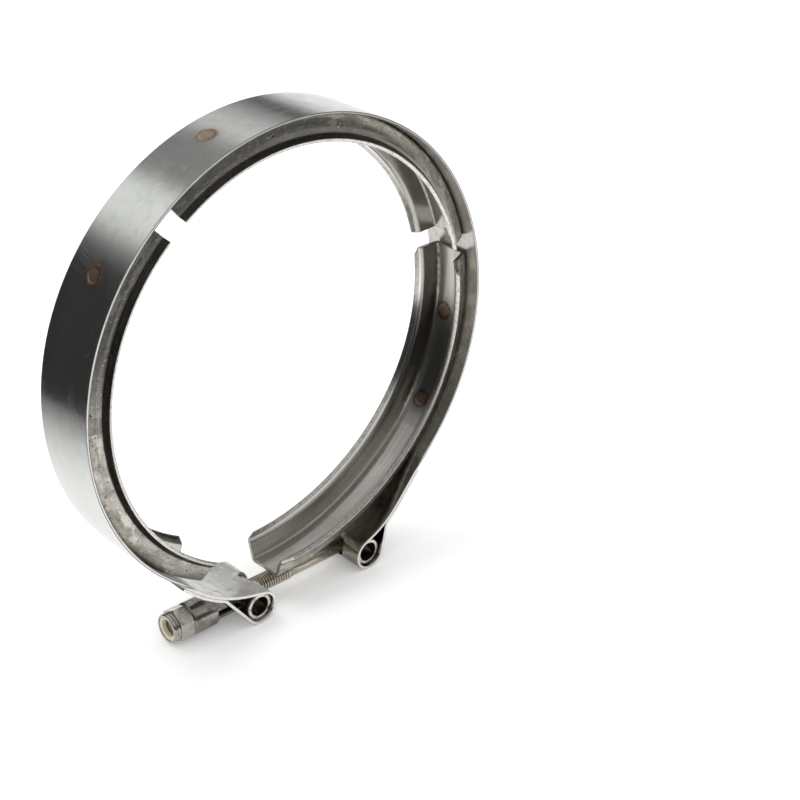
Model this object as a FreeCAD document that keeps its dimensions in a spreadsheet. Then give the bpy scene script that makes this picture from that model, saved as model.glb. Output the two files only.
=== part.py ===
"""V-band clamp for a flanged exhaust joint, closed by a T-bolt and a lock nut.

Frame: the origin is the centre of the ring on the mid-plane of its V-groove, +Y is the ring's
axis, +Z is up and +X runs along the T-bolt, from the lock nut to the bolt's barrel.  The clamp
stands on the two loops of its band.  Angles are taken from +X towards +Z.  All sizes are in
millimetres and degrees.
"""
import FreeCAD, Part
import math
import os

import Sketcher
from FreeCAD import Placement, Rotation, Vector

SIZES = {
    # Band: one strip, wrapped at each end round a barrel and lapped back on its own outside.
    "band_radius": 76.3,
    "band_width": 22.2,
    "band_thick": 0.9,
    "lap_gap": 0.1,
    "left_leave_angle": 226.7,
    "left_slope_angle": 14.0,
    "left_knuckle_share": 0.629,
    "left_crease_angle": 27.0,
    "left_lap": 5.2,
    "right_leave_angle": 220.6,
    "right_slope_angle": 22.0,
    "right_knuckle_share": 0.3932,
    "right_crease_angle": 38.0,
    "right_lap": 14.0,
    "crease_radius": 2.6,
    "crease_lift": 0.02,
    # Barrels: the tubes that the band's ends wrap round.
    "left_barrel_share": 0.2241,
    "right_barrel_share": 0.38925,
    "closure_drop": 6.2,
    "barrel_radius": 4.75,
    "barrel_bore": 3.4,
    "barrel_length": 19.8,
    "barrel_round": 0.5,
    "loop_gap": 0.2,
    # Slots in the band's loops.
    "bolt_slot": 7.0,
    "slot_rise": 2.0,
    "neck_gap": 0.5,
    "leg_cut": 9.9,
    # Retainers: rolled channels that hold the two flanges.
    "channel_thick": 1.2,
    "channel_gap": 0.05,
    "base_half": 6.5,
    "wall_slope_angle": 18.5,
    "wall_depth": 5.9,
    "lip_depth": 1.2,
    "lip_reach": 2.2,
    "bend_radius": 1.2,
    "left_start_angle": 131.6,
    "left_end_angle": 240.5,
    "top_start_angle": 15.4,
    "top_end_angle": 125.8,
    "right_start_angle": 320.0,
    "right_end_angle": 370.5,
    "sprung_shift": 7.2,
    "sprung_sweep_angle": 51.0,
    "corner_trim": 5.0,
    # T-bolt.
    "thread_radius": 2.95,
    "thread_length": 46.6,
    "shank_radius": 2.7,
    "bolt_point": 0.6,
    "shank_fit": 0.05,
    "shank_past": 1.6,
    # Sleeve of the trunnion, which the nut bears on.
    "sleeve_radius": 5.5,
    "sleeve_reach": 21.9,
    "sleeve_wall": 1.2,
    "sleeve_round": 0.5,
    "neck_reach": 12.9,
    "neck_radius": 4.6,
    "neck_wall": 1.0,
    "neck_slot": 2.0,
    "bolt_clear": 0.5,
    # Lock nut and its nylon ring.
    "nut_gap": 0.05,
    "nut_flats": 10.0,
    "hex_length": 4.95,
    "crown_radius": 5.2,
    "crown_slope_angle": 30.0,
    "collar_length": 2.35,
    "collar_radius": 4.85,
    "collar_groove": 0.35,
    "ridge_from": 0.35,
    "ridge_to": 0.82,
    "groove_at": 1.1,
    "second_ridge": 1.4,
    "rim_radius": 4.1,
    "nut_running_fit": 0.05,
    "bore_lead": 0.4,
    "nylon_radius": 4.3,
    "nylon_length": 1.7,
    "nylon_recess": 0.3,
    "nylon_grip": 0.02,
    "nylon_seat": 0.02,
    "nylon_lead": 0.3,
    "engaged_length": 5.55,
}

doc = FreeCAD.newDocument("v_band_clamp")


class Size:
    """A length or angle that carries its number and the expression that it is bound to."""

    def __init__(self, value, text):
        self.value = value
        self.text = text

    @staticmethod
    def of(other):
        return other if isinstance(other, Size) else Size(float(other), repr(float(other)))

    def __add__(self, other):
        other = Size.of(other)
        return Size(self.value + other.value, f"({self.text} + {other.text})")

    def __sub__(self, other):
        other = Size.of(other)
        return Size(self.value - other.value, f"({self.text} - {other.text})")

    def __mul__(self, factor):
        return Size(self.value * factor, f"({self.text} * {factor!r})")

    def __truediv__(self, factor):
        return Size(self.value / factor, f"({self.text} / {factor!r})")

    def __neg__(self):
        return Size(-self.value, f"(0 - {self.text})")


def make_sheet():
    """Write the driving dimensions into a spreadsheet and return them as bound sizes."""
    sheet = doc.addObject("Spreadsheet::Sheet", "Sizes")
    for row, (name, value) in enumerate(SIZES.items(), start=1):
        sheet.set(f"A{row}", name)
        sheet.set(f"B{row}", str(value))
        sheet.setAlias(f"B{row}", name)
    doc.recompute()
    return {name: Size(float(value), f"Sizes.{name}") for name, value in SIZES.items()}


size = make_sheet()


# ---------------------------------------------------------------- sketch helpers

def new_body(label):
    body = doc.addObject("PartDesign::Body", label)
    body.Label = label
    return body


def new_sketch(body, name, role, offset=None):
    """A sketch on one of the body's origin planes, moved by an offset in that plane's axes."""
    sketch = body.newObject("Sketcher::SketchObject", name)
    plane = [item for item in body.Origin.OriginFeatures if item.Role == role][0]
    sketch.AttachmentSupport = [(plane, "")]
    sketch.MapMode = "FlatFace"
    if offset is not None:
        sketch.AttachmentOffset = offset
    return sketch


def bind(sketch, index, amount):
    if isinstance(amount, Size):
        sketch.setExpression(f"Constraints[{index}]", amount.text)


def number(amount):
    return amount.value if isinstance(amount, Size) else float(amount)


def place_point(sketch, geometry, vertex, across, up):
    """Fix one point by its two coordinates; a coordinate of zero puts it on the axis."""
    for kind, axis, amount in (("DistanceX", -2, across), ("DistanceY", -1, up)):
        if amount is None:
            continue
        if abs(number(amount)) < 1e-9:
            sketch.addConstraint(Sketcher.Constraint("PointOnObject", geometry, vertex, axis))
        else:
            rule = Sketcher.Constraint(kind, -1, 1, geometry, vertex, number(amount))
            bind(sketch, sketch.addConstraint(rule), amount)


def polygon(sketch, points):
    """A closed outline of straight edges through points whose coordinates are bound sizes."""
    spots = [Vector(number(across), number(up), 0) for across, up in points]
    edges = []
    for start, end in zip(spots, spots[1:] + spots[:1]):
        edges.append(sketch.addGeometry(Part.LineSegment(start, end), False))
    for edge, follower in zip(edges, edges[1:] + edges[:1]):
        sketch.addConstraint(Sketcher.Constraint("Coincident", edge, 2, follower, 1))
    for edge, (across, up) in zip(edges, points):
        place_point(sketch, edge, 1, across, up)


def circle(sketch, across, up, radius):
    shape = Part.Circle(Vector(number(across), number(up), 0), Vector(0, 0, 1), number(radius))
    ring = sketch.addGeometry(shape, False)
    place_point(sketch, ring, 3, across, up)
    bind(sketch, sketch.addConstraint(Sketcher.Constraint("Radius", ring, number(radius))), radius)


def obround(sketch, across, low, high, radius):
    """An upright slot with round ends, centred between two points one above the other."""
    ends = []
    for up, start, end in ((high, 0.0, math.pi), (low, math.pi, 2 * math.pi)):
        full = Part.Circle(Vector(number(across), number(up), 0), Vector(0, 0, 1), number(radius))
        arc = sketch.addGeometry(Part.ArcOfCircle(full, start, end), False)
        place_point(sketch, arc, 3, across, up)
        ends.append(arc)
    bind(sketch, sketch.addConstraint(Sketcher.Constraint("Radius", ends[0], number(radius))), radius)
    upper, lower = ends
    for leave, enter in ((upper, lower), (lower, upper)):
        corners = [sketch.getPoint(leave, 2), sketch.getPoint(enter, 1)]
        side = sketch.addGeometry(Part.LineSegment(*corners), False)
        sketch.addConstraint(Sketcher.Constraint("Tangent", leave, 2, side, 1))
        sketch.addConstraint(Sketcher.Constraint("Tangent", side, 2, enter, 1))


# ---------------------------------------------------------------- folded strips

class Bend:
    """A round stretch of a strip's centre line: its centre, radius and turning sense.

    turn is +1 where the strip turns left and -1 where it turns right, and partner is the number
    of the bend that it is concentric with.
    """

    def __init__(self, centre, radius, turn, partner=None):
        self.centre = centre
        self.radius = radius
        self.turn = turn
        self.partner = partner

    def spot(self):
        return Vector(number(self.centre[0]), number(self.centre[1]), 0)


def unit(angle):
    return Vector(math.cos(math.radians(angle)), math.sin(math.radians(angle)), 0)


def heading_between(first, second):
    """Heading of the straight run that leaves one bend and enters the next."""
    step = second.spot() - first.spot()
    gap = second.turn * number(second.radius) - first.turn * number(first.radius)
    lean = math.acos(max(-1.0, min(1.0, gap / step.Length)))
    normal = math.degrees(math.atan2(step.y, step.x) + lean)
    return normal - 90


def strip_runs(bends, start_heading, end_heading):
    """Headings with which each bend is entered and left."""
    between = [heading_between(one, two) for one, two in zip(bends, bends[1:])]
    return list(zip([start_heading] + between, between + [end_heading]))


def rim_point(bend, heading, side):
    """Point of a bend, at a distance to the left of its centre line, where it has a heading."""
    radius = number(bend.radius) - bend.turn * side
    return bend.spot() + unit(heading - 90) * (bend.turn * radius)


def strip_side(sketch, bends, headings, ends, side, half):
    """One face of the strip: its straight runs and bends, tangent to each other."""
    chain = []
    offset = side * number(half)
    last = rim_point(bends[0], headings[0][0], offset) - unit(headings[0][0]) * number(ends[0])
    for index, (bend, (enter, leave)) in enumerate(zip(bends, headings)):
        start = rim_point(bend, enter, offset)
        if (start - last).Length > 1e-6:
            line = sketch.addGeometry(Part.LineSegment(last, start), False)
            chain.append((line, 1, 2))
        last = rim_point(bend, leave, offset)
        radius = number(bend.radius) - bend.turn * offset
        spots = [start, last] if bend.turn > 0 else [last, start]
        low, high = [math.atan2(*reversed(tuple(p - bend.spot())[:2])) for p in spots]
        high += 2 * math.pi if high <= low else 0
        full = Part.Circle(bend.spot(), Vector(0, 0, 1), radius)
        arc = sketch.addGeometry(Part.ArcOfCircle(full, low, high), False)
        chain.append((arc, 1, 2) if bend.turn > 0 else (arc, 2, 1))
        bend.arcs.append(arc)
    finish = last + unit(headings[-1][1]) * number(ends[1])
    line = sketch.addGeometry(Part.LineSegment(last, finish), False)
    chain.append((line, 1, 2))
    for (one, _, leave), (two, enter, _) in zip(chain, chain[1:]):
        sketch.addConstraint(Sketcher.Constraint("Tangent", one, leave, two, enter))
    return chain


def folded_strip(sketch, bends, start_heading, end_heading, ends, thick):
    """Outline of a strip of one thickness that runs straight between the given bends."""
    half = thick / 2
    headings = strip_runs(bends, start_heading, end_heading)
    for bend in bends:
        bend.arcs = []
    left = strip_side(sketch, bends, headings, ends, 1, half)
    right = strip_side(sketch, bends, headings, ends, -1, half)
    for bend in bends:
        inner, outer = bend.arcs
        sketch.addConstraint(Sketcher.Constraint("Coincident", inner, 3, outer, 3))
        for arc, side in ((inner, 1), (outer, -1)):
            radius = Size.of(bend.radius) - half * float(bend.turn * side)
            rule = Sketcher.Constraint("Radius", arc, radius.value)
            bind(sketch, sketch.addConstraint(rule), radius)
        if bend.partner is not None:
            centre = bends[bend.partner].arcs[0]
            sketch.addConstraint(Sketcher.Constraint("Coincident", inner, 3, centre, 3))
            continue
        place_point(sketch, inner, 3, *bend.centre)
    for (one, low, high), (two, other_low, other_high), near in (
            (left[0], right[0], True), (left[-1], right[-1], False)):
        spots = (low, other_low) if near else (high, other_high)
        corners = [sketch.getPoint(one, spots[0]), sketch.getPoint(two, spots[1])]
        cap = sketch.addGeometry(Part.LineSegment(*corners), False)
        sketch.addConstraint(Sketcher.Constraint("Coincident", one, spots[0], cap, 1))
        sketch.addConstraint(Sketcher.Constraint("Coincident", two, spots[1], cap, 2))
        sketch.addConstraint(Sketcher.Constraint("Perpendicular", one, cap))
        length = ends[0] if near else ends[1]
        bind(sketch, sketch.addConstraint(Sketcher.Constraint("Distance", one, number(length))), length)


# ---------------------------------------------------------------- features

def link_length(feature, amount):
    feature.Length = number(amount)
    if isinstance(amount, Size):
        feature.setExpression("Length", amount.text)


def pad(body, sketch, length):
    """A prism to both sides of the sketch."""
    feature = body.newObject("PartDesign::Pad", sketch.Label + "_pad")
    feature.Profile = sketch
    feature.SideType = "Symmetric"
    link_length(feature, length)
    return feature


def one_way_pad(body, sketch, length, reverse=False):
    feature = body.newObject("PartDesign::Pad", sketch.Label + "_pad")
    feature.Profile = sketch
    feature.Reversed = reverse
    link_length(feature, length)
    return feature


def pocket(body, sketch, length, forward):
    """A cut that goes along the sketch's normal, or against it, and must remove something."""
    doc.recompute()
    before = body.Shape.Volume
    feature = body.newObject("PartDesign::Pocket", sketch.Label + "_cut")
    feature.Profile = sketch
    feature.Reversed = forward
    link_length(feature, length)
    doc.recompute()
    if before - body.Shape.Volume < 1e-3:
        raise RuntimeError(sketch.Label + " cuts nothing")
    return feature


def through_pocket(body, sketch):
    """A cut to both sides of the sketch, all the way through."""
    feature = body.newObject("PartDesign::Pocket", sketch.Label + "_cut")
    feature.Profile = sketch
    feature.SideType = "Symmetric"
    feature.Type = "ThroughAll"
    return feature


def revolve(body, sketch, axis, angle=360.0, reverse=False, kind="Revolution"):
    feature = body.newObject("PartDesign::" + kind, sketch.Label + "_turned")
    feature.Profile = sketch
    feature.ReferenceAxis = (sketch, [axis])
    feature.Angle = number(angle)
    feature.Reversed = reverse
    if isinstance(angle, Size):
        feature.setExpression("Angle", angle.text)
    return feature


def place_body(body, across=None, up=None):
    """Move a body along X and Z by bound sizes."""
    body.Placement.Base = Vector(number(across or 0), 0, number(up or 0))
    if across is not None:
        body.setExpression("Placement.Base.x", across.text)
    if up is not None:
        body.setExpression("Placement.Base.z", up.text)


# ---------------------------------------------------------------- band

bolt_drop = size["band_radius"] + size["closure_drop"]
left_barrel = size["band_radius"] * SIZES["left_barrel_share"]
right_barrel = size["band_radius"] * SIZES["right_barrel_share"]
strip_centre = size["band_radius"] - size["band_thick"] / 2
loop_radius = size["barrel_radius"] + size["loop_gap"] + size["band_thick"] / 2


def band_end(mirror, barrel_at, leave, slope, knuckle, crease_angle):
    """Bends of one end of the band, from the round part outwards to the lap.

    Both ends are worked out as a left end, and the right one is then mirrored, its angles with
    it.  The strip leaves the circle at an angle, bends at the knuckle to a slope below the
    horizontal, wraps the barrel, and lies back on the knuckle's outside past a crease.
    """
    heading = leave + 90
    leave_normal = unit(heading + 90)
    reach_normal = unit(90 - slope)
    barrel = Vector(-number(barrel_at), -number(bolt_drop), 0)
    ring_side = number(knuckle) - number(strip_centre)
    loop_side = barrel.dot(reach_normal) + number(loop_radius) + number(knuckle)
    det = leave_normal.x * reach_normal.y - leave_normal.y * reach_normal.x
    middle = Vector((ring_side * reach_normal.y - loop_side * leave_normal.y) / det,
                    (loop_side * leave_normal.x - ring_side * reach_normal.x) / det, 0)
    lap_radius = knuckle + size["band_thick"] + size["lap_gap"]
    crease_reach = number(lap_radius) + number(size["crease_radius"]) + SIZES["crease_lift"]
    crease = middle + unit(-90 - crease_angle) * crease_reach
    flip = -1 if mirror else 1
    side = barrel_at if mirror else -barrel_at
    return [
        Bend((flip * middle.x, middle.y), knuckle, flip),
        Bend((side, -bolt_drop), loop_radius, -flip),
        Bend((flip * crease.x, crease.y), size["crease_radius"], flip),
        Bend((flip * middle.x, middle.y), lap_radius, -flip),
    ]


def make_band():
    left, right = [
        band_end(name == "right", barrel_at, SIZES[name + "_leave_angle"],
                 SIZES[name + "_slope_angle"], size["band_radius"] * SIZES[name + "_knuckle_share"],
                 SIZES[name + "_crease_angle"])
        for name, barrel_at in (("left", left_barrel), ("right", right_barrel))]
    for bend in left:
        bend.turn = -bend.turn
    ring = Bend((0, 0), strip_centre, -1)
    bends = left[::-1] + [ring] + right
    bends[0].partner = 3
    bends[8].partner = 5
    body = new_body("band")
    outline = new_sketch(body, "band_outline", "XZ_Plane")
    start_heading = SIZES["left_leave_angle"] + 90
    end_heading = -SIZES["right_leave_angle"] - 90
    folded_strip(outline, bends, start_heading, end_heading,
                 (size["left_lap"], size["right_lap"]), size["band_thick"])
    pad(body, outline, size["band_width"])
    cut_slots(body)
    return body


def cut_slots(body):
    """Openings in the loops: for the bolt, and in the left leg for the sleeve's neck."""
    slot_half = size["bolt_slot"] / 2
    drop = -bolt_drop
    loop_reach = size["barrel_radius"] + size["loop_gap"] + size["band_thick"] * 2.0

    over = new_sketch(body, "left_slot_top", "XY_Plane",
                      Placement(Vector(0, 0, drop.value), Rotation()))
    over.setExpression("AttachmentOffset.Base.z", drop.text)
    middle = slot_half - left_barrel
    outside = loop_reach - left_barrel
    half_round = Part.Circle(Vector(middle.value, 0, 0), Vector(0, 0, 1), slot_half.value)
    arc = over.addGeometry(Part.ArcOfCircle(half_round, math.pi / 2, 3 * math.pi / 2), False)
    place_point(over, arc, 3, middle, 0)
    bind(over, over.addConstraint(Sketcher.Constraint("Radius", arc, slot_half.value)), slot_half)
    near = Vector(middle.value, -slot_half.value, 0)
    far = Vector(middle.value, slot_half.value, 0)
    out = Vector(outside.value - middle.value, 0, 0)
    lower = over.addGeometry(Part.LineSegment(near, near + out), False)
    outer = over.addGeometry(Part.LineSegment(near + out, far + out), False)
    upper = over.addGeometry(Part.LineSegment(far + out, far), False)
    over.addConstraint(Sketcher.Constraint("Tangent", arc, 2, lower, 1))
    over.addConstraint(Sketcher.Constraint("Coincident", lower, 2, outer, 1))
    over.addConstraint(Sketcher.Constraint("Coincident", outer, 2, upper, 1))
    over.addConstraint(Sketcher.Constraint("Tangent", upper, 2, arc, 1))
    over.addConstraint(Sketcher.Constraint("Vertical", outer))
    over.addConstraint(Sketcher.Constraint("Horizontal", lower))
    place_point(over, outer, 1, outside, None)
    pocket(body, over, loop_reach, True)

    def side_hole(name, across, low, high, radius, length, forward):
        """A slot along X, cut from a plane across the bolt."""
        sketch = new_sketch(body, name, "YZ_Plane", Placement(Vector(0, 0, across.value), Rotation()))
        sketch.setExpression("AttachmentOffset.Base.z", across.text)
        if high is None:
            circle(sketch, 0, low, radius)
        else:
            obround(sketch, 0, low, high, radius)
        pocket(body, sketch, length, forward)

    side_hole("left_slot_side", -left_barrel, drop, None, slot_half, loop_reach, True)
    neck_hole = size["neck_radius"] + size["neck_gap"]
    leg_from = size["neck_gap"] - left_barrel - size["barrel_bore"]
    side_hole("left_slot_leg", leg_from, drop, None, neck_hole, size["leg_cut"], False)
    side_hole("right_slot_side", right_barrel, drop, drop + size["slot_rise"],
              slot_half, loop_reach, False)


# ---------------------------------------------------------------- retainers

base_radius = size["band_radius"] - size["band_thick"] - size["channel_gap"]


def fillet_bend(corner, enter, leave, radius, turn):
    """Bend that rounds a corner of a strip's centre line between two headings."""
    back = number(radius) * math.tan(math.radians(abs(leave - enter)) / 2)
    centre = corner - unit(enter) * back + unit(enter + 90 * turn) * number(radius)
    return Bend((centre.x, centre.y), radius, turn)


def channel_bends():
    """The channel's section in a plane through the ring's axis: X is the radius, Y the axis."""
    half = number(size["channel_thick"]) / 2
    floor = number(base_radius) - half
    slope = SIZES["wall_slope_angle"]
    lean = math.tan(math.radians(slope))
    base_y = SIZES["base_half"] - half
    bend_x = floor - SIZES["wall_depth"]
    bend_y = base_y + SIZES["wall_depth"] * lean
    lip = math.degrees(math.atan2(SIZES["lip_reach"], SIZES["lip_depth"]))
    radius = size["bend_radius"]
    corners = [
        fillet_bend(Vector(bend_x, -bend_y, 0), lip, slope, radius, -1),
        fillet_bend(Vector(floor, -base_y, 0), slope, 90, radius, 1),
        fillet_bend(Vector(floor, base_y, 0), 90, 180 - slope, radius, 1),
        fillet_bend(Vector(bend_x, bend_y, 0), 180 - slope, 180 - lip, radius, -1),
    ]
    trimmed = number(radius) * math.tan(math.radians(lip - slope) / 2)
    lip_length = math.hypot(SIZES["lip_reach"], SIZES["lip_depth"]) - trimmed
    return corners, lip, lip_length


def make_retainer(label, start, sweep, sprung=None):
    """A rolled channel whose section is turned about the ring's axis from a start angle."""
    body = new_body(label)
    section = new_sketch(body, label + "_section", "XY_Plane")
    bends, lip, lip_length = channel_bends()
    folded_strip(section, bends, lip, 180 - lip, (lip_length, lip_length), size["channel_thick"])
    revolve(body, section, "V_Axis", sweep, reverse=True)
    if sprung is not None:
        shift, sprung_sweep = sprung
        height = number(size["band_width"])
        axis = Part.LineSegment(Vector(-number(shift), -height, 0), Vector(-number(shift), height, 0))
        line = section.addGeometry(axis, True)
        place_point(section, line, 1, -shift, -size["band_width"])
        place_point(section, line, 2, -shift, size["band_width"])
        revolve(body, section, "Axis0", sprung_sweep)
        trim_corners(body, "upper_trim", 0, number(sweep), 1)
        trim_corners(body, "lower_trim", -number(shift), -number(sprung_sweep), -1)
    body.Placement = Placement(Vector(), Rotation(Vector(0, 1, 0), -number(start)))
    body.setExpression("Placement.Rotation.Angle", (-start).text)
    return body


def trim_corners(body, name, centre, angle, along):
    """Cut the corners of both lips back at one end, in a plane that faces the ring's centre."""
    reach = number(size["corner_trim"])
    thick = number(size["channel_thick"])
    root = SIZES["base_half"] + SIZES["wall_depth"] * math.tan(math.radians(SIZES["wall_slope_angle"]))
    tip = root + SIZES["lip_reach"]
    depth = SIZES["lip_depth"] + 2 * thick
    level = number(base_radius) - centre - SIZES["wall_depth"] - depth
    turn = Rotation(Vector(0, 1, 0), -angle)
    facing = Rotation(Vector(0, 1, 0), 90)
    spot = Vector(centre, 0, 0) + turn.multVec(Vector(level, 0, 0))
    sketch = new_sketch(body, name, "XY_Plane", Placement(spot, turn.multiply(facing)))
    for side in (-1, 1):
        polygon(sketch, [(-along * thick, side * root), (0, side * root),
                         (along * reach, side * tip), (along * reach, side * (tip + thick)),
                         (-along * thick, side * (tip + thick))])
    pocket(body, sketch, depth, True)


# ---------------------------------------------------------------- closure

def barrel(body, name):
    """A tube along Y with rounded rims, its middle at the body's origin."""
    outline = new_sketch(body, name, "XZ_Plane")
    circle(outline, 0, 0, size["barrel_radius"])
    tube = pad(body, outline, size["barrel_length"])
    return tube


def round_rims(body, base, radius, rim_radius):
    """Round the edges of a feature that are circles of one radius."""
    doc.recompute()
    names = []
    for place, edge in enumerate(base.Shape.Edges, start=1):
        curve = edge.Curve
        if isinstance(curve, Part.Circle) and abs(curve.Radius - number(rim_radius)) < 1e-4:
            names.append(f"Edge{place}")
    feature = body.newObject("PartDesign::Fillet", base.Label + "_round")
    feature.Base = (base, names)
    feature.Radius = number(radius)
    feature.setExpression("Radius", radius.text)
    return feature


def make_bolt_barrel():
    body = new_body("bolt_barrel")
    tube = barrel(body, "bolt_barrel_outline")
    round_rims(body, tube, size["barrel_round"], size["barrel_radius"])
    bore = new_sketch(body, "bolt_barrel_bore", "XZ_Plane")
    circle(bore, 0, 0, size["barrel_bore"])
    through_pocket(body, bore)
    hole = new_sketch(body, "bolt_barrel_hole", "YZ_Plane")
    circle(hole, 0, 0, size["shank_radius"] + size["shank_fit"])
    pocket(body, hole, size["barrel_radius"] * 2.0, False)
    place_body(body, right_barrel, -bolt_drop)
    return body


def make_trunnion():
    """Barrel and sleeve in one piece; the neck between them is slotted at both sides."""
    body = new_body("trunnion")
    tube = barrel(body, "trunnion_barrel")
    round_rims(body, tube, size["barrel_round"], size["barrel_radius"])

    sleeve = new_sketch(body, "trunnion_sleeve", "XZ_Plane")
    inner = size["thread_radius"] + size["bolt_clear"]
    polygon(sleeve, [
        (-size["barrel_bore"], inner),
        (-size["barrel_bore"], size["neck_radius"]),
        (-size["neck_reach"], size["neck_radius"]),
        (-size["neck_reach"], size["sleeve_radius"]),
        (-size["sleeve_reach"] + size["sleeve_round"], size["sleeve_radius"]),
        (-size["sleeve_reach"], size["sleeve_radius"] - size["sleeve_round"]),
        (-size["sleeve_reach"], inner),
    ])
    revolve(body, sleeve, "H_Axis")

    hollow = new_sketch(body, "trunnion_hollow", "XZ_Plane")
    polygon(hollow, [
        (-size["barrel_radius"], 0),
        (-size["barrel_radius"], size["neck_radius"] - size["neck_wall"]),
        (-size["neck_reach"], size["neck_radius"] - size["neck_wall"]),
        (-size["neck_reach"], size["sleeve_radius"] - size["sleeve_wall"]),
        (-size["sleeve_reach"] + size["sleeve_wall"], size["sleeve_radius"] - size["sleeve_wall"]),
        (-size["sleeve_reach"] + size["sleeve_wall"], 0),
    ])
    revolve(body, hollow, "H_Axis", kind="Groove")

    bore = new_sketch(body, "trunnion_bore", "XZ_Plane")
    circle(bore, 0, 0, size["barrel_bore"])
    through_pocket(body, bore)
    hole = new_sketch(body, "trunnion_hole", "YZ_Plane")
    circle(hole, 0, 0, inner)
    through_pocket(body, hole)
    slot = new_sketch(body, "trunnion_slot", "XZ_Plane")
    half = size["neck_slot"] / 2
    polygon(slot, [(-size["barrel_radius"], -half), (-size["barrel_radius"], half),
                   (-size["neck_reach"], half), (-size["neck_reach"], -half)])
    through_pocket(body, slot)
    place_body(body, -left_barrel, -bolt_drop)
    return body


nut_face = -left_barrel - size["sleeve_reach"] - size["nut_gap"]
bolt_end = nut_face - size["engaged_length"]


def make_t_bolt():
    """Plain shank in the right barrel, thread to the left end."""
    body = new_body("t_bolt")
    profile = new_sketch(body, "t_bolt_profile", "XZ_Plane")
    head = right_barrel + size["shank_past"]
    thread_stop = bolt_end + size["thread_length"]
    step = size["thread_radius"] - size["shank_radius"]
    polygon(profile, [
        (bolt_end, 0),
        (bolt_end, size["thread_radius"] - size["bolt_point"]),
        (bolt_end + size["bolt_point"], size["thread_radius"]),
        (thread_stop, size["thread_radius"]),
        (thread_stop + step, size["shank_radius"]),
        (head, size["shank_radius"]),
        (head, 0),
    ])
    revolve(body, profile, "H_Axis")
    place_body(body, up=-bolt_drop)
    return body


def make_lock_nut():
    """Hexagon with chamfered corners, then a round collar crimped over the nylon ring."""
    body = new_body("lock_nut")
    flats = size["nut_flats"] / 2
    corner = flats.value / math.cos(math.pi / 6)
    plane = new_sketch(body, "lock_nut_hexagon", "YZ_Plane")
    points = [Vector(corner * math.sin(k * math.pi / 3), corner * math.cos(k * math.pi / 3), 0)
              for k in range(6)]
    sides = [plane.addGeometry(Part.LineSegment(points[k - 1], points[k]), False) for k in range(6)]
    guide = plane.addGeometry(Part.Circle(Vector(0, 0, 0), Vector(0, 0, 1), flats.value), True)
    place_point(plane, guide, 3, 0, 0)
    bind(plane, plane.addConstraint(Sketcher.Constraint("Radius", guide, flats.value)), flats)
    for side, follower in zip(sides, sides[1:] + sides[:1]):
        plane.addConstraint(Sketcher.Constraint("Coincident", side, 2, follower, 1))
    for side in sides:
        plane.addConstraint(Sketcher.Constraint("Tangent", side, guide))
    for side in sides[1:]:
        plane.addConstraint(Sketcher.Constraint("Equal", sides[0], side))
    one_way_pad(body, plane, size["hex_length"], reverse=True)

    bevel = new_sketch(body, "lock_nut_bevel", "XZ_Plane")
    crown = size["crown_radius"]
    outside = size["nut_flats"]
    rise = math.tan(math.radians(SIZES["crown_slope_angle"]))
    for face, inward in ((Size.of(0), -rise), (-size["hex_length"], rise)):
        polygon(bevel, [(face, crown), (face, outside),
                        (face + (outside - crown) * inward, outside)])
    revolve(body, bevel, "H_Axis", kind="Groove")

    collar = new_sketch(body, "lock_nut_collar", "XZ_Plane")
    start = -size["hex_length"]
    end = start - size["collar_length"]
    top = size["collar_radius"]
    dip = size["collar_groove"]
    polygon(collar, [
        (start, size["rim_radius"] - dip), (start, top - dip),
        (start - size["ridge_from"], top), (start - size["ridge_to"], top),
        (start - size["groove_at"], top - dip), (start - size["second_ridge"], top),
        (end + dip, top), (end, top - dip), (end, size["rim_radius"] - dip),
    ])
    revolve(body, collar, "H_Axis")

    bore = new_sketch(body, "lock_nut_bore", "XZ_Plane")
    thread = size["thread_radius"] + size["nut_running_fit"]
    seat = size["nylon_radius"] + size["nylon_seat"]
    nylon_near = end + size["nylon_recess"]
    nylon_far = nylon_near + size["nylon_length"] + size["nylon_seat"]
    lead = size["bore_lead"]
    polygon(bore, [
        (lead, 0), (lead, thread + lead * 2.0), (-lead, thread),
        (nylon_far, thread), (nylon_far, seat), (nylon_near, seat),
        (nylon_near, size["rim_radius"]), (end - lead, size["rim_radius"]), (end - lead, 0),
    ])
    revolve(body, bore, "H_Axis", kind="Groove")
    place_body(body, nut_face, -bolt_drop)
    return body


def make_nylon_insert():
    """The ring that grips the thread, held under the crimped rim of the collar."""
    body = new_body("nylon_insert")
    profile = new_sketch(body, "nylon_insert_profile", "XZ_Plane")
    end = -size["hex_length"] - size["collar_length"]
    near = end + size["nylon_recess"] + size["nylon_seat"]
    far = end + size["nylon_recess"] + size["nylon_length"]
    grip = size["thread_radius"] + size["nylon_grip"]
    lead = size["nylon_lead"]
    polygon(profile, [(far, grip), (far, size["nylon_radius"]),
                      (near, size["nylon_radius"]), (near, grip + lead), (near + lead, grip)])
    revolve(body, profile, "H_Axis")
    place_body(body, nut_face, -bolt_drop)
    return body


# ---------------------------------------------------------------- build and write

def check_model(bodies):
    for item in doc.Objects:
        broken = [state for state in item.State if state in ("Invalid", "Error")]
        if broken:
            raise RuntimeError(f"{item.Label}: {broken}")
    for body in bodies:
        if body.Shape.isNull() or not body.Shape.isValid():
            raise RuntimeError(body.Label + " has no valid shape")


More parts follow.
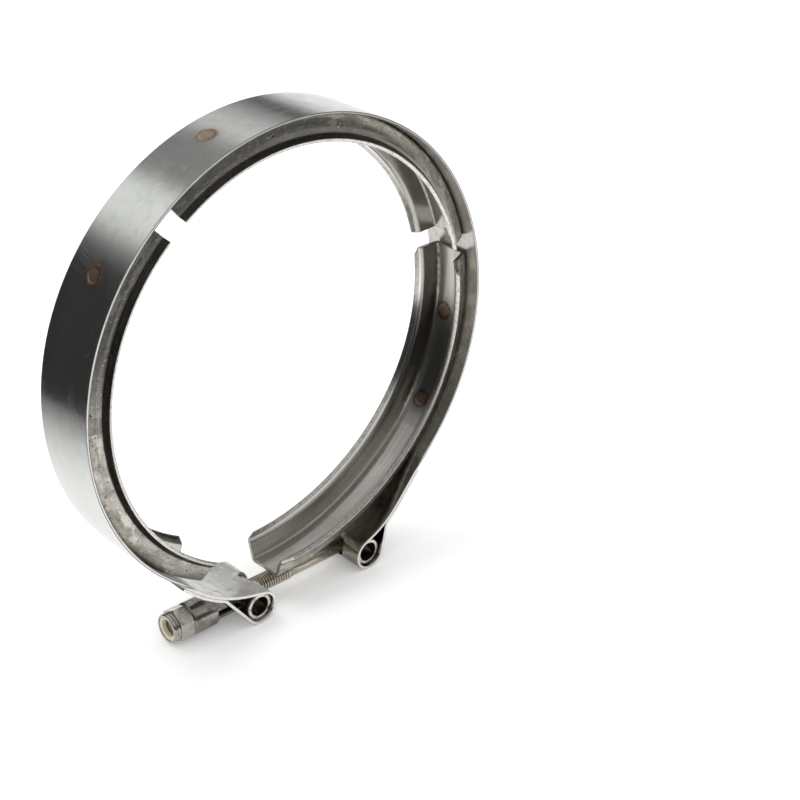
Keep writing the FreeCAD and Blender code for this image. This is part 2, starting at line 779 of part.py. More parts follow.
def main():
    bodies = [
        make_band(),
        make_retainer("retainer_left", size["left_start_angle"], size["left_end_angle"] - size["left_start_angle"]),
        make_retainer("retainer_top", size["top_start_angle"], size["top_end_angle"] - size["top_start_angle"]),
        make_retainer("retainer_right", size["right_start_angle"], size["right_end_angle"] - size["right_start_angle"],
                      sprung=(size["sprung_shift"], size["sprung_sweep_angle"])),
        make_t_bolt(),
        make_bolt_barrel(),
        make_trunnion(),
        make_lock_nut(),
        make_nylon_insert(),
    ]
    doc.recompute()
    check_model(bodies)
    os.makedirs("parts", exist_ok=True)
    for body in bodies:
        body.Shape.exportStep(f"parts/{body.Label}.step")
        box = body.Shape.BoundBox
        print(f"{body.Label:16s} solids {len(body.Shape.Solids)} volume {body.Shape.Volume:9.2f} "
              f"x {box.XMin:8.2f} {box.XMax:8.2f} y {box.YMin:7.2f} {box.YMax:7.2f} "
              f"z {box.ZMin:8.2f} {box.ZMax:8.2f}")


main()
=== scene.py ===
"""How the V-band clamp looks: worn steel with spot-weld marks, a bolt with a real thread, and a
white table in a studio.

Places are metres in the frame of the CAD model: X along the bolt, Y along the ring's axis, Z up.
A number times MM is in millimetres.  Colours are linear red, green and blue."""
import math

import bpy
from mathutils import Matrix, Vector


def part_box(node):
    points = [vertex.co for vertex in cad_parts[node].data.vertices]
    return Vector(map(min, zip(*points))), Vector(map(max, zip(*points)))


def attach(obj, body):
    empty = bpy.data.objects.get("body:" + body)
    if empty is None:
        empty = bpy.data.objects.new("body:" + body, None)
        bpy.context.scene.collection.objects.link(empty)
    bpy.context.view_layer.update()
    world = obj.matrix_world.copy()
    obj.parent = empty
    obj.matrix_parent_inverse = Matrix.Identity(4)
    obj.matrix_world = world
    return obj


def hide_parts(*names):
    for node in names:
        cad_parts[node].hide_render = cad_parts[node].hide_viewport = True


MM = 0.001

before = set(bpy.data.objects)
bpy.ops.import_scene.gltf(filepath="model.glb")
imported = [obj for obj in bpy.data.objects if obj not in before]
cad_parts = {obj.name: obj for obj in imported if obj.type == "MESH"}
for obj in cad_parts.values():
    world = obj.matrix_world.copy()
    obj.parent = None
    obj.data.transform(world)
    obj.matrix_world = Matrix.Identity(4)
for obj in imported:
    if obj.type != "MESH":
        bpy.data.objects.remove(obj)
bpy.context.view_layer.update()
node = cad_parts

ring_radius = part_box("band")[1].z
floor_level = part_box("band")[0].z
bolt_low, bolt_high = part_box("t_bolt")
bolt_level = (bolt_low.z + bolt_high.z) / 2
thread_radius = bolt_high.y
lip_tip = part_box("retainer_left")[1].y


# ---------------------------------------------------------------- camera

CAMERA_AT = Vector((-0.2718, -0.3319, 0.2170))
CAMERA_RIGHT = Vector((0.72495, -0.68832, 0.02582))
CAMERA_UP = Vector((0.31373, 0.36333, 0.87726))
FOCAL_LENGTH = 70.8
SENSOR = 36.0
NEAREST_SEEN = 0.01


def make_camera():
    data = bpy.data.cameras.new("camera")
    data.lens = FOCAL_LENGTH
    data.sensor_width = SENSOR
    data.clip_start = NEAREST_SEEN
    camera = bpy.data.objects.new("camera", data)
    back = CAMERA_RIGHT.cross(CAMERA_UP)
    turn = Matrix((CAMERA_RIGHT, CAMERA_UP, back)).transposed().to_4x4()
    camera.matrix_world = Matrix.Translation(CAMERA_AT) @ turn
    bpy.context.collection.objects.link(camera)
    bpy.context.scene.camera = camera


# ---------------------------------------------------------------- shader nodes

def opaque(colour):
    """A colour as a node's input takes it.  An output socket stays as it is."""
    return colour if isinstance(colour, bpy.types.NodeSocket) else (*colour, 1)


class Nodes:
    """The node tree of a material or a world.

    An input of a node is given a value, or another node's output socket to be linked to."""

    def __init__(self, owner):
        owner.use_nodes = True
        self.tree = owner.node_tree
        self.tree.nodes.clear()

    def add(self, kind, inputs=None, **settings):
        made = self.tree.nodes.new(kind)
        for name, value in settings.items():
            setattr(made, name, value)
        for name, value in (inputs or {}).items():
            if isinstance(value, bpy.types.NodeSocket):
                self.tree.links.new(value, made.inputs[name])
            else:
                made.inputs[name].default_value = value
        return made

    def math(self, operation, *values):
        return self.add("ShaderNodeMath", dict(enumerate(values)), operation=operation).outputs[0]

    def vector(self, operation, *values):
        made = self.add("ShaderNodeVectorMath", dict(enumerate(values)), operation=operation)
        scalar = operation in ("DOT_PRODUCT", "DISTANCE", "LENGTH")
        return made.outputs["Value" if scalar else "Vector"]

    def split(self, vector):
        return self.add("ShaderNodeSeparateXYZ", {0: vector}).outputs

    def join(self, x, y, z):
        return self.add("ShaderNodeCombineXYZ", {0: x, 1: y, 2: z}).outputs[0]

    def remap(self, value, low, high, to_low=0.0, to_high=1.0):
        """A smooth step from one level to another as the value goes from low to high."""
        return self.add("ShaderNodeMapRange", {
            "Value": value, "From Min": low, "From Max": high,
            "To Min": to_low, "To Max": to_high}, interpolation_type="SMOOTHSTEP").outputs[0]

    def mix(self, mask, one, two):
        """One colour where the mask is 0 and the other where it is 1."""
        return self.add("ShaderNodeMix", {0: mask, 6: opaque(one), 7: opaque(two)},
                        data_type="RGBA").outputs[2]

    def overlap(self, *masks):
        """1 where all of the masks are 1."""
        shared = masks[0]
        for mask in masks[1:]:
            shared = self.math("MULTIPLY", shared, mask)
        return shared

    def noise(self, place, scale, detail=2.0, rough=0.5):
        return self.add("ShaderNodeTexNoise", {
            "Vector": place, "Scale": scale, "Detail": detail, "Roughness": rough}).outputs["Fac"]


# ---------------------------------------------------------------- steel

# Spot welds of the channels to the band: degrees round the ring, and millimetres along its axis.
WELDS = ((107.6, 1.5), (145.8, 0.0), (226.0, 0.0), (33.5, 0.0), (-8.1, 1.6), (-32.2, 0.5))
BEVEL_SAMPLES = 4


class Steel(Nodes):
    """A bare metal whose colour, roughness and relief are built up in layers."""

    def __init__(self, name, colour):
        self.material = bpy.data.materials.new(name)
        super().__init__(self.material)
        self.colour = colour
        self.rough = None
        self.relief = []
        spot = self.add("ShaderNodeTexCoord").outputs
        self.place = spot["Object"]
        self.normal = spot["Normal"]

    # Layers

    def tint(self, mask, colour, strength=1.0):
        """Another colour where the mask is 1, at full strength or less."""
        if strength != 1.0:
            mask = self.math("MULTIPLY", mask, strength)
        self.colour = self.mix(mask, self.colour, colour)

    def roughen(self, mask, low, high):
        """Roughness all over, from low to high as the mask goes from 0 to 1."""
        self.rough = self.remap(mask, 0.0, 1.0, low, high)

    def wear(self, mask, rough):
        """Another roughness where the mask is 1."""
        self.rough = self.mix(mask, self.rough, (rough, rough, rough))

    def raise_by(self, mask, millimetres):
        """Relief that stands so far out where the mask is 1, or sinks in below zero."""
        self.relief.append((mask, millimetres))

    # Noises

    def wrapped(self, along, across, deep):
        """The place as length round the ring, width and radius, in waves per millimetre."""
        x, y, z = self.split(self.place)
        turn = self.math("ARCTAN2", z, x)
        return self.join(self.math("MULTIPLY", turn, ring_radius * along / MM),
                         self.math("MULTIPLY", y, across / MM),
                         self.math("MULTIPLY", self.radius(), deep / MM))

    def grain(self, waves, detail, rough=0.5):
        """Noise that follows the ring: waves per millimetre round it, across it and into it."""
        return self.noise(self.wrapped(*waves), 1.0, detail, rough)

    def blotches(self, waves, detail, rough=0.5):
        """Noise with so many waves per millimetre along each axis."""
        scale = tuple(count / MM for count in waves)
        return self.noise(self.vector("MULTIPLY", self.place, scale), 1.0, detail, rough)

    # Masks of places on the ring

    def from_axis(self):
        x, _, z = self.split(self.place)
        return self.join(x, 0.0, z)

    def radius(self):
        return self.vector("LENGTH", self.from_axis())

    def outward(self):
        """1 where a face looks away from the ring's axis, and -1 where it looks at the axis."""
        return self.vector("DOT_PRODUCT", self.vector("NORMALIZE", self.from_axis()), self.normal)

    def off_middle(self):
        """Distance from the plane in the middle of the band."""
        return self.math("ABSOLUTE", self.split(self.place)[1])

    def side_face(self):
        """1 on the faces that look along the ring's axis."""
        sideways = self.math("ABSOLUTE", self.split(self.normal)[1])
        return self.remap(sideways, 0.8, 0.95)

    def near_lip_tip(self, low, high):
        """A step from 0 to 1 between two distances, in millimetres, short of the lips' tips."""
        return self.remap(self.off_middle(), lip_tip - low * MM, lip_tip - high * MM)

    # Marks

    def scratches(self, lean, patch_from):
        """Fine straight scratches that lean against the ring's length, gathered in patches."""
        place = self.add("ShaderNodeVectorRotate", {
            "Vector": self.wrapped(1.0, 1.0, 0.0), "Angle": math.radians(lean)},
            rotation_type="Z_AXIS").outputs[0]
        drawn = self.noise(self.vector("MULTIPLY", place, (0.02, 1.4, 1.0)), 1.0, 0.0)
        off_line = self.math("ABSOLUTE", self.math("SUBTRACT", drawn, 0.5))
        shifted = self.vector("ADD", self.wrapped(0.07, 0.1, 0.1), (lean, 0.0, 0.0))
        patch = self.noise(shifted, 1.0)
        return self.overlap(self.remap(off_line, 0.010, 0.002),
                            self.remap(patch, patch_from, patch_from + 0.08))

    def weld_marks(self, radius, depth, burnt_colour, middle_colour, strength):
        """Spot-weld marks at a radius of the ring: burnt rings, each round a coppery dimple."""
        reach = None
        for turn, across in WELDS:
            angle = math.radians(turn)
            centre = (radius * math.cos(angle), across * MM, radius * math.sin(angle))
            away = self.vector("DISTANCE", self.place, centre)
            reach = away if reach is None else self.math("MINIMUM", reach, away)
        wobble = self.noise(self.place, 420.0, 3.0)
        ragged = self.math("MULTIPLY_ADD", wobble, 1.0 * MM, reach)
        ragged = self.math("SUBTRACT", ragged, 0.5 * MM)

        def step(far, near):
            return self.remap(ragged, far * MM, near * MM)

        halo = step(6.0, 2.8)
        burnt = step(3.8, 2.8)
        middle = step(2.8, 1.7)
        inner = self.overlap(step(1.8, 1.4), step(0.7, 1.2))
        patchy = self.remap(self.noise(self.place, 1300.0, 3.0), 0.3, 0.6, 0.55, 1.0)
        self.tint(halo, burnt_colour, 0.22 * strength)
        self.tint(self.overlap(burnt, patchy), burnt_colour, strength)
        self.tint(middle, middle_colour, 0.8)
        self.tint(self.overlap(inner, patchy), burnt_colour, 0.4 * strength)
        self.wear(burnt, 0.28)
        self.raise_by(middle, -depth)

    def finish(self, edge=0.25, anisotropy=0.0):
        """The material, with the piece's edges rounded in its shading by so many millimetres."""
        shader = self.add("ShaderNodeBsdfPrincipled", {
            "Base Color": self.colour, "Roughness": self.rough, "Metallic": 1.0})
        if anisotropy:
            shader.inputs["Anisotropic"].default_value = anisotropy
            tangent = self.add("ShaderNodeTangent", direction_type="RADIAL", axis="Y")
            self.tree.links.new(tangent.outputs[0], shader.inputs["Tangent"])
        normal = self.add("ShaderNodeBevel", {"Radius": edge * MM},
                          samples=BEVEL_SAMPLES).outputs[0]
        for mask, millimetres in self.relief:
            normal = self.add("ShaderNodeBump", {
                "Height": mask, "Distance": millimetres * MM, "Strength": 1.0,
                "Normal": normal}).outputs[0]
        self.tree.links.new(normal, shader.inputs["Normal"])
        self.add("ShaderNodeOutputMaterial", {"Surface": shader.outputs[0]})
        return self.material


# ---------------------------------------------------------------- band

BAND_SHEET = 0.9 * MM
BAND = {
    "rolled": (0.705, 0.725, 0.70),
    "cloud": (0.66, 0.67, 0.64),
    "smear": (0.56, 0.565, 0.53),
    "scratch": (0.92, 0.92, 0.9),
    "inside": (0.66, 0.645, 0.61),
    "inside_stain": (0.5, 0.48, 0.44),
    "left_leaf": (0.94, 0.94, 0.90),
    "left_smear": (0.80, 0.79, 0.75),
    # Painted shade on the right leaf and painted shadow on its loop, dark as what they mirror.
    "right_leaf_painted_shade": (0.46, 0.43, 0.395),
    "right_smear_painted_shade": (0.34, 0.31, 0.28),
    "right_loop_painted_shadow": (0.36, 0.33, 0.295),
    "nick": (0.14, 0.13, 0.12),
    "sheared": (0.93, 0.92, 0.9),
    "sheared_grain": (0.7, 0.69, 0.66),
    # Painted shade along the corners of the sheared edge.
    "painted_edge_shade": (0.10, 0.10, 0.095),
    "weld_ring": (0.36, 0.18, 0.085),
    "weld_middle": (0.66, 0.50, 0.36),
}
# How the scratches lean, in degrees, and the level of noise from which there are any.
SCRATCHES = ((18.0, 0.46), (-52.0, 0.52), (74.0, 0.55))
# Heights between which the band turns into its folded leaves, and the leaves into their loops.
LEAF_FROM, LEAF_FULL = -52.0 * MM, -57.0 * MM
LOOP_FROM, LOOP_FULL = -66.0 * MM, -70.0 * MM
# Each half of the closure begins at the middle and is reached at this distance from it.
HALF_FULL = 4.0 * MM


def band_material():
    steel = Steel("band_steel", BAND["rolled"])
    lines = steel.grain((0.012, 4.0, 0.5), 3.0, 0.6)
    clouds = steel.grain((0.03, 0.08, 0.1), 3.0)
    smears = steel.grain((0.25, 0.25, 0.3), 4.0, 0.65)
    steel.tint(steel.remap(clouds, 0.35, 0.75), BAND["cloud"])
    steel.tint(steel.remap(smears, 0.5, 0.72), BAND["smear"], 0.4)
    half_smears = steel.math("MULTIPLY", smears, 0.5)
    steel.roughen(steel.math("MULTIPLY_ADD", lines, 0.5, half_smears), 0.09, 0.24)
    steel.raise_by(lines, 0.0012)
    for lean, patch_from in SCRATCHES:
        scratch = steel.scratches(lean, patch_from)
        steel.tint(scratch, BAND["scratch"], 0.7)
        steel.raise_by(scratch, -0.003)
    inside = steel.remap(steel.outward(), -0.6, -0.9)
    specks = steel.grain((0.6, 0.9, 0.5), 4.0, 0.7)
    steel.tint(inside, steel.mix(steel.remap(specks, 0.35, 0.7),
                                 BAND["inside"], BAND["inside_stain"]))
    steel.wear(inside, 0.3)
    add_leaves(steel, inside, smears)
    add_sheared_edge(steel)
    steel.weld_marks(ring_radius, 0.10, BAND["weld_ring"], BAND["weld_middle"], 0.85)
    return steel.finish(edge=0.15, anisotropy=0.25)


def add_leaves(steel, inside, smears):
    """The folded ends: the left one hammered pale, dull and dented; the right one painted dark as
    shade, and its loop darker still, a painted reflection of the shadow beneath it.
    """
    x, _, z = steel.split(steel.place)
    low = steel.remap(z, LEAF_FROM, LEAF_FULL)
    right_half = steel.remap(x, 0.0, HALF_FULL)
    left = steel.overlap(low, steel.remap(x, 0.0, -HALF_FULL), inside)
    right = steel.overlap(low, right_half, inside)
    smeared = steel.remap(smears, 0.4, 0.6)
    steel.tint(left, steel.mix(smeared, BAND["left_leaf"], BAND["left_smear"]))
    # Painted shade: the inside of the right leaf is darkened to stand for the dark it mirrors.
    steel.tint(right, steel.mix(smeared, BAND["right_leaf_painted_shade"], BAND["right_smear_painted_shade"]))
    # Painted shadow: the loop round the right barrel is darkened to stand for the shadowed table
    # it mirrors.
    loop = steel.overlap(steel.remap(z, LOOP_FROM, LOOP_FULL), right_half)
    steel.tint(loop, BAND["right_loop_painted_shadow"])
    steel.wear(left, 0.4)
    steel.wear(right, 0.17)
    dents = steel.blotches((0.28, 0.22, 0.28), 1.0)
    steel.raise_by(steel.overlap(left, steel.remap(dents, 0.56, 0.66)), -0.16)
    nicks = steel.blotches((0.8, 0.6, 0.8), 1.0)
    steel.tint(steel.overlap(left, steel.remap(nicks, 0.72, 0.76)), BAND["nick"])


def add_sheared_edge(steel):
    """The strip's bright edge, with painted shade along both of its corners where a rounded edge
    mirrors dark.
    """
    sheared = steel.side_face()
    grain = steel.grain((0.5, 0.5, 6.0), 3.0, 0.6)
    steel.tint(sheared, steel.mix(steel.remap(grain, 0.35, 0.7),
                                  BAND["sheared"], BAND["sheared_grain"]))
    # Painted shade: a dark band near each corner of the sheared face.
    off_centre = steel.math("ABSOLUTE", steel.math(
        "SUBTRACT", steel.radius(), ring_radius - BAND_SHEET / 2))
    painted_edge_shade = steel.overlap(sheared, steel.remap(off_centre, 0.14 * MM, 0.26 * MM),
                         steel.remap(off_centre, 0.60 * MM, 0.50 * MM))
    steel.tint(painted_edge_shade, BAND["painted_edge_shade"], 0.85)
    steel.wear(sheared, 0.35)


# ---------------------------------------------------------------- channels

# From the outside of the band in to the channels' floors, and from a lip's tip to its bend.
FLOOR_DEPTH = 2.15 * MM
LIP_BEND = 2.2 * MM
CHANNEL = {
    "mill": (0.52, 0.50, 0.455),
    "groove": (0.53, 0.52, 0.485),
    "groove_rubbed": (0.43, 0.42, 0.39),
    # Painted light and shade on the grooves' sides, then a painted highlight on the lips' inner
    # bend.
    "low_side_painted_light": (0.60, 0.575, 0.535),
    "high_side_painted_shade": (0.24, 0.225, 0.205),
    "painted_bend_highlight": (0.96, 0.95, 0.92),
    "mottle": (0.37, 0.35, 0.305),
    "roll_mark": (0.24, 0.22, 0.185),
    "scale": (0.78, 0.75, 0.68),
    "pit": (0.06, 0.052, 0.042),
    # Painted shade on the lips' backs, a painted highlight on their outer bend, and painted shade
    # and light on the far and near inner lips.
    "lip_back_painted_shade": (0.03, 0.028, 0.025),
    "painted_outer_bend_highlight": (0.88, 0.86, 0.80),
    "far_lip_painted_shade": (0.66, 0.64, 0.60),
    "near_lip_painted_light": (0.86, 0.84, 0.79),
    "lip_pit": (0.45, 0.43, 0.38),
    "tip": (0.93, 0.91, 0.86),
    "tip_crust": (0.5, 0.48, 0.42),
    "weld_ring": (0.07, 0.045, 0.03),
    "weld_middle": (0.30, 0.20, 0.135),
}
# Heights between which the sides of the grooves go from bright to dark: painted light low down,
# painted shade high up.
SIDE_LOW, SIDE_HIGH = -45.0 * MM, -5.0 * MM
# Heights between which the painted highlight on the outer bend of the channels comes in.
BEND_LOW, BEND_HIGH = 0.0, 30.0 * MM
# How much of the mill scale on the channels' backs also shows in their grooves.
GROOVE_SHARE = 0.12


def channel_material():
    """Mill steel: plain in the groove, scaly and pitted on the back, bright at the lips, with
    painted light and shade on the grooves' sides and the lips.
    """
    steel = Steel("retainer_steel", CHANNEL["mill"])
    height = steel.split(steel.place)[2]
    within = steel.remap(steel.outward(), 0.1, -0.1)
    without = steel.math("SUBTRACT", 1.0, within)
    rubbed = steel.grain((0.015, 0.5, 0.5), 2.0)
    pits = steel.grain((0.8, 1.0, 1.0), 3.0, 0.6)

    # The groove, its sides with painted light low down and painted shade high up, and a painted
    # highlight along the bend of each lip
    steel.tint(within, steel.mix(steel.remap(rubbed, 0.4, 0.6),
                                 CHANNEL["groove"], CHANNEL["groove_rubbed"]))
    # Painted light and shade: the grooves' sides are bright low down and dark high up.
    steel.tint(steel.overlap(within, steel.side_face()),
               steel.mix(steel.remap(height, SIDE_LOW, SIDE_HIGH),
                         CHANNEL["low_side_painted_light"], CHANNEL["high_side_painted_shade"]))
    # Painted highlight: a bright line along the inner bend of each lip.
    off_bend = steel.math("ABSOLUTE", steel.math(
        "SUBTRACT", steel.off_middle(), lip_tip - LIP_BEND))
    line = steel.overlap(within, steel.remap(off_bend, 0.40 * MM, 0.24 * MM))
    steel.tint(line, CHANNEL["painted_bend_highlight"])

    add_mill_scale(steel, without, pits)

    # The lips: backs painted dark as shade, a painted highlight on the bend above them, and
    # bright pitted tips
    # Painted shade: the backs of the lips, in the pocket between lip and band, are made near
    # black.
    curled_back = steel.overlap(steel.near_lip_tip(2.3, 2.0),
                                steel.remap(steel.outward(), 0.25, 0.5))
    steel.tint(curled_back, CHANNEL["lip_back_painted_shade"], 0.93)
    # Painted highlight on the outer bend of each lip, patchy with the rubbed grain, and only high
    # up.
    painted_outer_bend_highlight = steel.overlap(without, steel.near_lip_tip(2.75, 2.45),
                               steel.near_lip_tip(1.95, 2.2))
    steel.tint(steel.overlap(painted_outer_bend_highlight, steel.remap(height, BEND_LOW, BEND_HIGH),
                             steel.remap(rubbed, 0.42, 0.56)), CHANNEL["painted_outer_bend_highlight"])
    # Painted light and shade: the inner lips are paler on the near side of the ring than on the
    # far side.
    inner_lip = steel.overlap(within, steel.near_lip_tip(1.9, 1.7))
    near_side = steel.remap(steel.split(steel.place)[1], 1.0 * MM, -1.0 * MM)
    steel.tint(inner_lip, steel.mix(near_side, CHANNEL["far_lip_painted_shade"], CHANNEL["near_lip_painted_light"]))
    steel.tint(steel.overlap(inner_lip, steel.remap(pits, 0.50, 0.62)), CHANNEL["lip_pit"])
    tip = steel.overlap(steel.near_lip_tip(0.7, 0.4), steel.side_face())
    crust = steel.grain((1.6, 1.6, 1.6), 3.0, 0.7)
    steel.tint(tip, steel.mix(steel.remap(crust, 0.45, 0.68),
                              CHANNEL["tip"], CHANNEL["tip_crust"]))
    steel.wear(tip, 0.4)
    steel.raise_by(steel.overlap(crust, tip), 0.12)

    steel.weld_marks(ring_radius - FLOOR_DEPTH, 0.08,
                     CHANNEL["weld_ring"], CHANNEL["weld_middle"], 0.95)
    return steel.finish(edge=0.7)


def add_mill_scale(steel, without, pits):
    """Mottled, rolled and pitted scale, strong on the backs and faint in the grooves."""
    old = steel.math("MULTIPLY_ADD", without, 1.0 - GROOVE_SHARE, GROOVE_SHARE)
    rolled = steel.grain((0.03, 1.6, 1.6), 3.0, 0.6)
    mottle = steel.grain((0.22, 0.35, 0.35), 5.0, 0.65)
    scale = steel.grain((0.10, 0.30, 0.30), 4.0, 0.7)
    steel.tint(steel.overlap(old, steel.remap(mottle, 0.42, 0.62)), CHANNEL["mottle"])
    steel.tint(steel.overlap(old, steel.remap(rolled, 0.5, 0.68)), CHANNEL["roll_mark"], 0.6)
    steel.tint(steel.overlap(old, steel.remap(scale, 0.52, 0.62)), CHANNEL["scale"], 0.8)
    steel.tint(steel.overlap(old, steel.remap(pits, 0.64, 0.70)), CHANNEL["pit"])
    steel.roughen(steel.overlap(old, mottle), 0.17, 0.46)
    steel.raise_by(steel.overlap(without, rolled), 0.02)
    steel.raise_by(steel.overlap(without, mottle), 0.07)
    steel.raise_by(steel.overlap(without, steel.remap(pits, 0.72, 0.58)), 0.06)


# ---------------------------------------------------------------- small parts

BARREL_COLOUR = (0.38, 0.355, 0.32)
NUT_COLOUR = (0.56, 0.535, 0.485)
# A face that looks along the ring's axis is a sawn end only this far from the middle plane.
ENDS_FROM = 9.0 * MM
STAIN_SHADE = 0.6
END_SHINE = 2.2
END_LIMIT = 0.9
PLATING = (0.66, 0.61, 0.5)
# Painted shade in the roots of the thread.
THREAD_ROOT_SHADE = (0.2, 0.17, 0.12)
NYLON = (0.74, 0.69, 0.55)
NYLON_MOTTLE = (0.6, 0.54, 0.4)


def machined_material(name, colour, rough, edge):
    """Turned or drawn steel, slightly stained, with bright and ragged ends."""
    steel = Steel(name, colour)
    stain = steel.blotches((0.25, 0.25, 0.25), 4.0, 0.6)
    fine = steel.blotches((3.0, 0.6, 0.6), 3.0, 0.6)
    ragged = steel.blotches((0.8, 0.8, 0.8), 3.0)
    steel.tint(steel.remap(stain, 0.42, 0.66), tuple(level * STAIN_SHADE for level in colour))
    ends = steel.overlap(steel.side_face(),
                         steel.remap(steel.off_middle(), ENDS_FROM - 0.1 * MM, ENDS_FROM))
    steel.tint(steel.overlap(ends, steel.remap(ragged, 0.36, 0.5)),
               tuple(min(END_LIMIT, level * END_SHINE) for level in colour))
    steel.raise_by(steel.overlap(ends, ragged), 0.15)
    steel.roughen(stain, rough * 0.7, rough * 1.8)
    steel.raise_by(fine, 0.003)
    steel.raise_by(stain, 0.08)
    return steel.finish(edge=edge)


def thread_material():
    """Yellowish plating, with painted shade in the roots of the thread."""
    steel = Steel("bolt_steel", PLATING)
    x, y, z = steel.split(steel.place)
    height = steel.vector("LENGTH", steel.join(0.0, y, steel.math("SUBTRACT", z, bolt_level)))
    # Painted shade: the thread's roots are darkened.
    root = steel.remap(height, thread_radius - 0.15 * MM, thread_radius - 0.5 * MM)
    threaded = steel.remap(x, 4.0 * MM, 1.0 * MM)
    steel.tint(steel.overlap(root, threaded), THREAD_ROOT_SHADE)
    fine = steel.blotches((1.0, 2.0, 2.0), 3.0, 0.6)
    steel.roughen(fine, 0.2, 0.42)
    steel.raise_by(fine, 0.006)
    return steel.finish()


def nylon_material():
    made = bpy.data.materials.new("nylon")
    nodes = Nodes(made)
    mottle = nodes.noise(nodes.add("ShaderNodeTexCoord").outputs["Object"], 1400.0, 3.0)
    bump = nodes.add("ShaderNodeBump", {"Height": mottle, "Distance": 0.02 * MM})
    shader = nodes.add("ShaderNodeBsdfPrincipled", {
        "Base Color": nodes.mix(nodes.remap(mottle, 0.35, 0.7), NYLON, NYLON_MOTTLE),
        "Roughness": 0.5, "Subsurface Weight": 0.2, "Subsurface Scale": 1.0 * MM,
        "Normal": bump.outputs[0]})
    nodes.add("ShaderNodeOutputMaterial", {"Surface": shader.outputs[0]})
    return made


# ---------------------------------------------------------------- bolt

THREAD_PITCH = 1.0 * MM
THREAD_DEPTH = 0.58 * MM
THREAD_LENGTH = 46.6 * MM
RUN_OUT = 1.2 * MM
END_CHAMFER = 0.6 * MM
# The groove's flanks: how steep they are, and how far from the crest's middle they begin.
FLANK_STEEPNESS = 2.0
CREST = 0.55
SHANK_RADIUS = 2.7 * MM
# Rings of the shank, measured on from the end of the thread.
SHANK_RINGS = (0.25 * MM, 6 * MM)
ROUND_STEPS = 40
PITCH_STEPS = 8


def clamped(value):
    return min(1.0, max(0.0, value))


def thread_height(along, angle):
    """Radius of the bolt's surface at a distance from its end and an angle round its axis."""
    phase = (along / THREAD_PITCH - angle / (2 * math.pi)) % 1.0
    groove = clamped(FLANK_STEEPNESS * abs(2.0 * phase - 1.0) - CREST)
    fade = clamped((THREAD_LENGTH - along) / RUN_OUT)
    chamfer = max(0.0, END_CHAMFER - along)
    return thread_radius - THREAD_DEPTH * groove * fade - chamfer


def make_bolt():
    """The T-bolt with its helical thread, along X about the bolt's axis."""
    angles = [2 * math.pi * step / ROUND_STEPS for step in range(ROUND_STEPS)]
    steps = round(THREAD_LENGTH / THREAD_PITCH) * PITCH_STEPS
    spots = [THREAD_LENGTH * step / steps for step in range(steps + 1)]
    rings = [(along, [thread_height(along, angle) for angle in angles]) for along in spots]
    total = bolt_high.x - bolt_low.x
    for along in (*(THREAD_LENGTH + more for more in SHANK_RINGS), total):
        rings.append((along, [SHANK_RADIUS] * ROUND_STEPS))
    verts = [(bolt_low.x + along, radius * math.cos(angle), bolt_level + radius * math.sin(angle))
             for along, radii in rings for radius, angle in zip(radii, angles)]
    faces = []
    for first in range(0, (len(rings) - 1) * ROUND_STEPS, ROUND_STEPS):
        for step in range(ROUND_STEPS):
            one = first + step
            two = first + (step + 1) % ROUND_STEPS
            faces.append((one, one + ROUND_STEPS, two + ROUND_STEPS, two))
    last = (len(rings) - 1) * ROUND_STEPS
    faces.append(tuple(range(ROUND_STEPS)))
    faces.append(tuple(last + step for step in reversed(range(ROUND_STEPS))))
    mesh = bpy.data.meshes.new("threaded_bolt")
    mesh.from_pydata(verts, [], faces)
    mesh.update()
    for face in mesh.polygons:
        face.use_smooth = len(face.vertices) == 4
    bolt = bpy.data.objects.new("threaded_bolt", mesh)
    bpy.context.collection.objects.link(bolt)
    mesh.materials.append(thread_material())
    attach(bolt, "bolt")
    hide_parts("t_bolt")


# ---------------------------------------------------------------- table and light

# The sheet's edges, from the ring's middle: away from the camera, and to the left of that.
TABLE_TURN = math.radians(46.0)
TABLE_NEAR, TABLE_FAR = -0.21, 1.5
TABLE_RIGHT, TABLE_LEFT = -0.45, 0.28
TABLE_WHITE = (0.95, 0.95, 0.95)
TABLE_DIM = (0.2, 0.2, 0.2)
TABLE_GLOW = 0.14
# In the steel the sheet is dimmed towards the left and towards the camera, between these.
DIM_LEFT = (0.10, TABLE_LEFT)
DIM_NEAR = (0.15, 0.29)

# Light that only the steel mirrors: azimuth from +X, elevation, reach and softness in degrees,
# and brightness.  The second is the white backdrop behind the clamp as the camera sees it.
ROOM = (
    (109.5, 36.0, 3.0, 11.0, 0.42),
    (47.0, -4.0, 7.0, 15.0, 0.95),
    (59.0, 28.0, 3.0, 11.0, 0.22),
    (84.0, 40.0, 4.0, 12.0, -0.33),
    (-62.0, 0.0, 36.0, 30.0, 0.08),
    (-14.0, -8.0, 4.0, 20.0, 0.20),
    (80.0, 57.0, 8.0, 12.0, 0.12),
)
WALL = 0.025
CEILING = 0.55
CEILING_FROM, CEILING_FULL = math.radians(20.0), math.radians(36.0)
DARKEST = 0.02
AMBIENT = 1.0

LAMP_AT = (-0.25, 0.35, 0.9)
LAMP_SIZE = 0.7
LAMP_POWER = 2.5


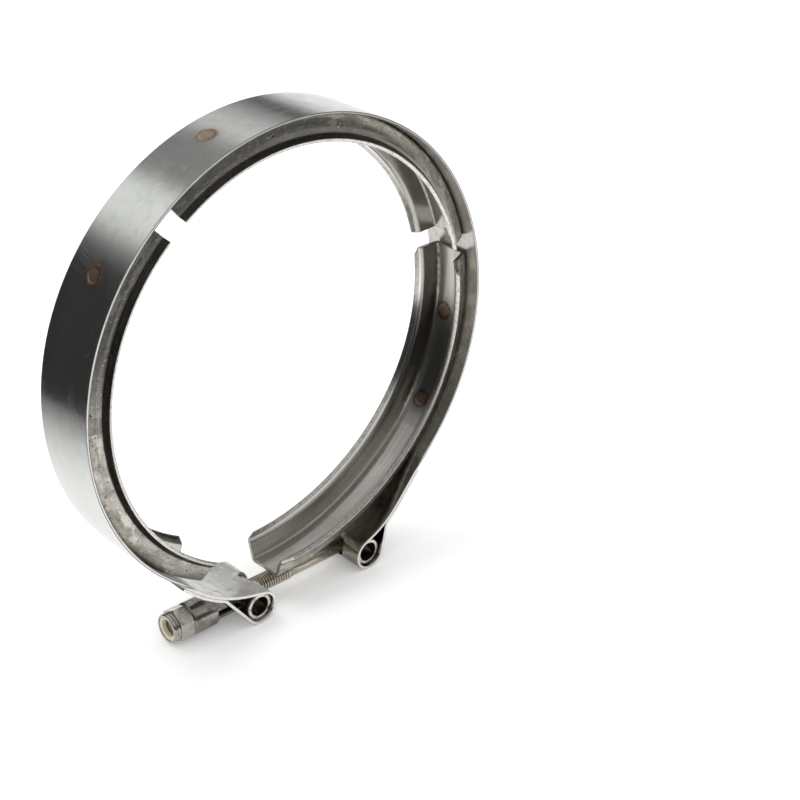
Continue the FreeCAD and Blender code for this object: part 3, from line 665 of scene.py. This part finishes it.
def make_table():
    """A white sheet that runs away from the camera and ends beside the clamp."""
    mesh = bpy.data.meshes.new("table_top")
    along = Vector((math.cos(TABLE_TURN), math.sin(TABLE_TURN), 0))
    across = Vector((-along.y, along.x, 0))
    corners = [(TABLE_NEAR, TABLE_RIGHT), (TABLE_FAR, TABLE_RIGHT),
               (TABLE_FAR, TABLE_LEFT), (TABLE_NEAR, TABLE_LEFT)]
    mesh.from_pydata([along * far + across * left + Vector((0, 0, floor_level))
                      for far, left in corners], [], [(0, 1, 2, 3)])
    table = bpy.data.objects.new("table_top", mesh)
    bpy.context.collection.objects.link(table)
    white = bpy.data.materials.new("table_white")
    nodes = Nodes(white)
    place = nodes.add("ShaderNodeTexCoord").outputs["Object"]
    edges = [nodes.remap(nodes.vector("DOT_PRODUCT", place, tuple(way)), *span)
             for way, span in ((across, DIM_LEFT), (-along, DIM_NEAR))]
    ray = nodes.add("ShaderNodeLightPath").outputs
    dim = nodes.math("MULTIPLY", nodes.math("MAXIMUM", *edges), ray["Is Glossy Ray"])
    paper = nodes.add("ShaderNodeBsdfDiffuse", {"Color": nodes.mix(dim, TABLE_WHITE, TABLE_DIM)})
    glow = nodes.add("ShaderNodeEmission", {
        "Strength": nodes.math("MULTIPLY", ray["Is Camera Ray"], TABLE_GLOW)})
    both = nodes.add("ShaderNodeAddShader", {0: paper.outputs[0], 1: glow.outputs[0]})
    nodes.add("ShaderNodeOutputMaterial", {"Surface": both.outputs[0]})
    mesh.materials.append(white)


def direction(turn, rise):
    turn, rise = math.radians(turn), math.radians(rise)
    return (math.cos(rise) * math.cos(turn), math.cos(rise) * math.sin(turn), math.sin(rise))


def make_room():
    """White all round, and for what the steel mirrors a dark room with a bright ceiling."""
    world = bpy.data.worlds.new("room")
    bpy.context.scene.world = world
    nodes = Nodes(world)
    way = nodes.add("ShaderNodeTexCoord").outputs["Generated"]
    level = nodes.remap(nodes.split(way)[2], math.sin(CEILING_FROM), math.sin(CEILING_FULL),
                        WALL, CEILING)
    for turn, rise, reach, soft, bright in ROOM:
        near = nodes.vector("DOT_PRODUCT", way, direction(turn, rise))
        patch = nodes.remap(near, math.cos(math.radians(reach + soft)),
                            math.cos(math.radians(reach)), 0.0, bright)
        level = nodes.math("ADD", level, patch)
    level = nodes.math("MAXIMUM", level, DARKEST)
    room = nodes.add("ShaderNodeBackground", {"Color": level, "Strength": 1.0})
    plain = nodes.add("ShaderNodeBackground", {"Color": (1, 1, 1, 1), "Strength": AMBIENT})
    mirrored = nodes.add("ShaderNodeLightPath").outputs["Is Glossy Ray"]
    both = nodes.add("ShaderNodeMixShader", {
        0: mirrored, 1: plain.outputs[0], 2: room.outputs[0]})
    nodes.add("ShaderNodeOutputWorld", {"Surface": both.outputs[0]})


def make_lamp():
    """A soft square lamp above, turned to the ring's middle and not mirrored in the steel."""
    data = bpy.data.lights.new("top_lamp", "AREA")
    data.size = LAMP_SIZE
    data.energy = LAMP_POWER
    lamp = bpy.data.objects.new("top_lamp", data)
    lamp.location = LAMP_AT
    lamp.rotation_euler = (-Vector(LAMP_AT)).to_track_quat("-Z", "Y").to_euler()
    lamp.visible_glossy = False
    bpy.context.collection.objects.link(lamp)


# ---------------------------------------------------------------- build

def dress(material, *names):
    """Give the CAD pieces of these names one material."""
    for name in names:
        slots = node[name].data.materials
        slots.clear()
        slots.append(material)


make_camera()
dress(band_material(), "band")
dress(channel_material(), "retainer_left", "retainer_top", "retainer_right")
dress(machined_material("barrel_steel", BARREL_COLOUR, 0.17, 0.25), "bolt_barrel", "trunnion")
dress(machined_material("nut_steel", NUT_COLOUR, 0.13, 0.4), "lock_nut")
dress(nylon_material(), "nylon_insert")
make_bolt()
make_table()
make_room()
make_lamp()
bpy.context.scene.view_settings.view_transform = "Standard"
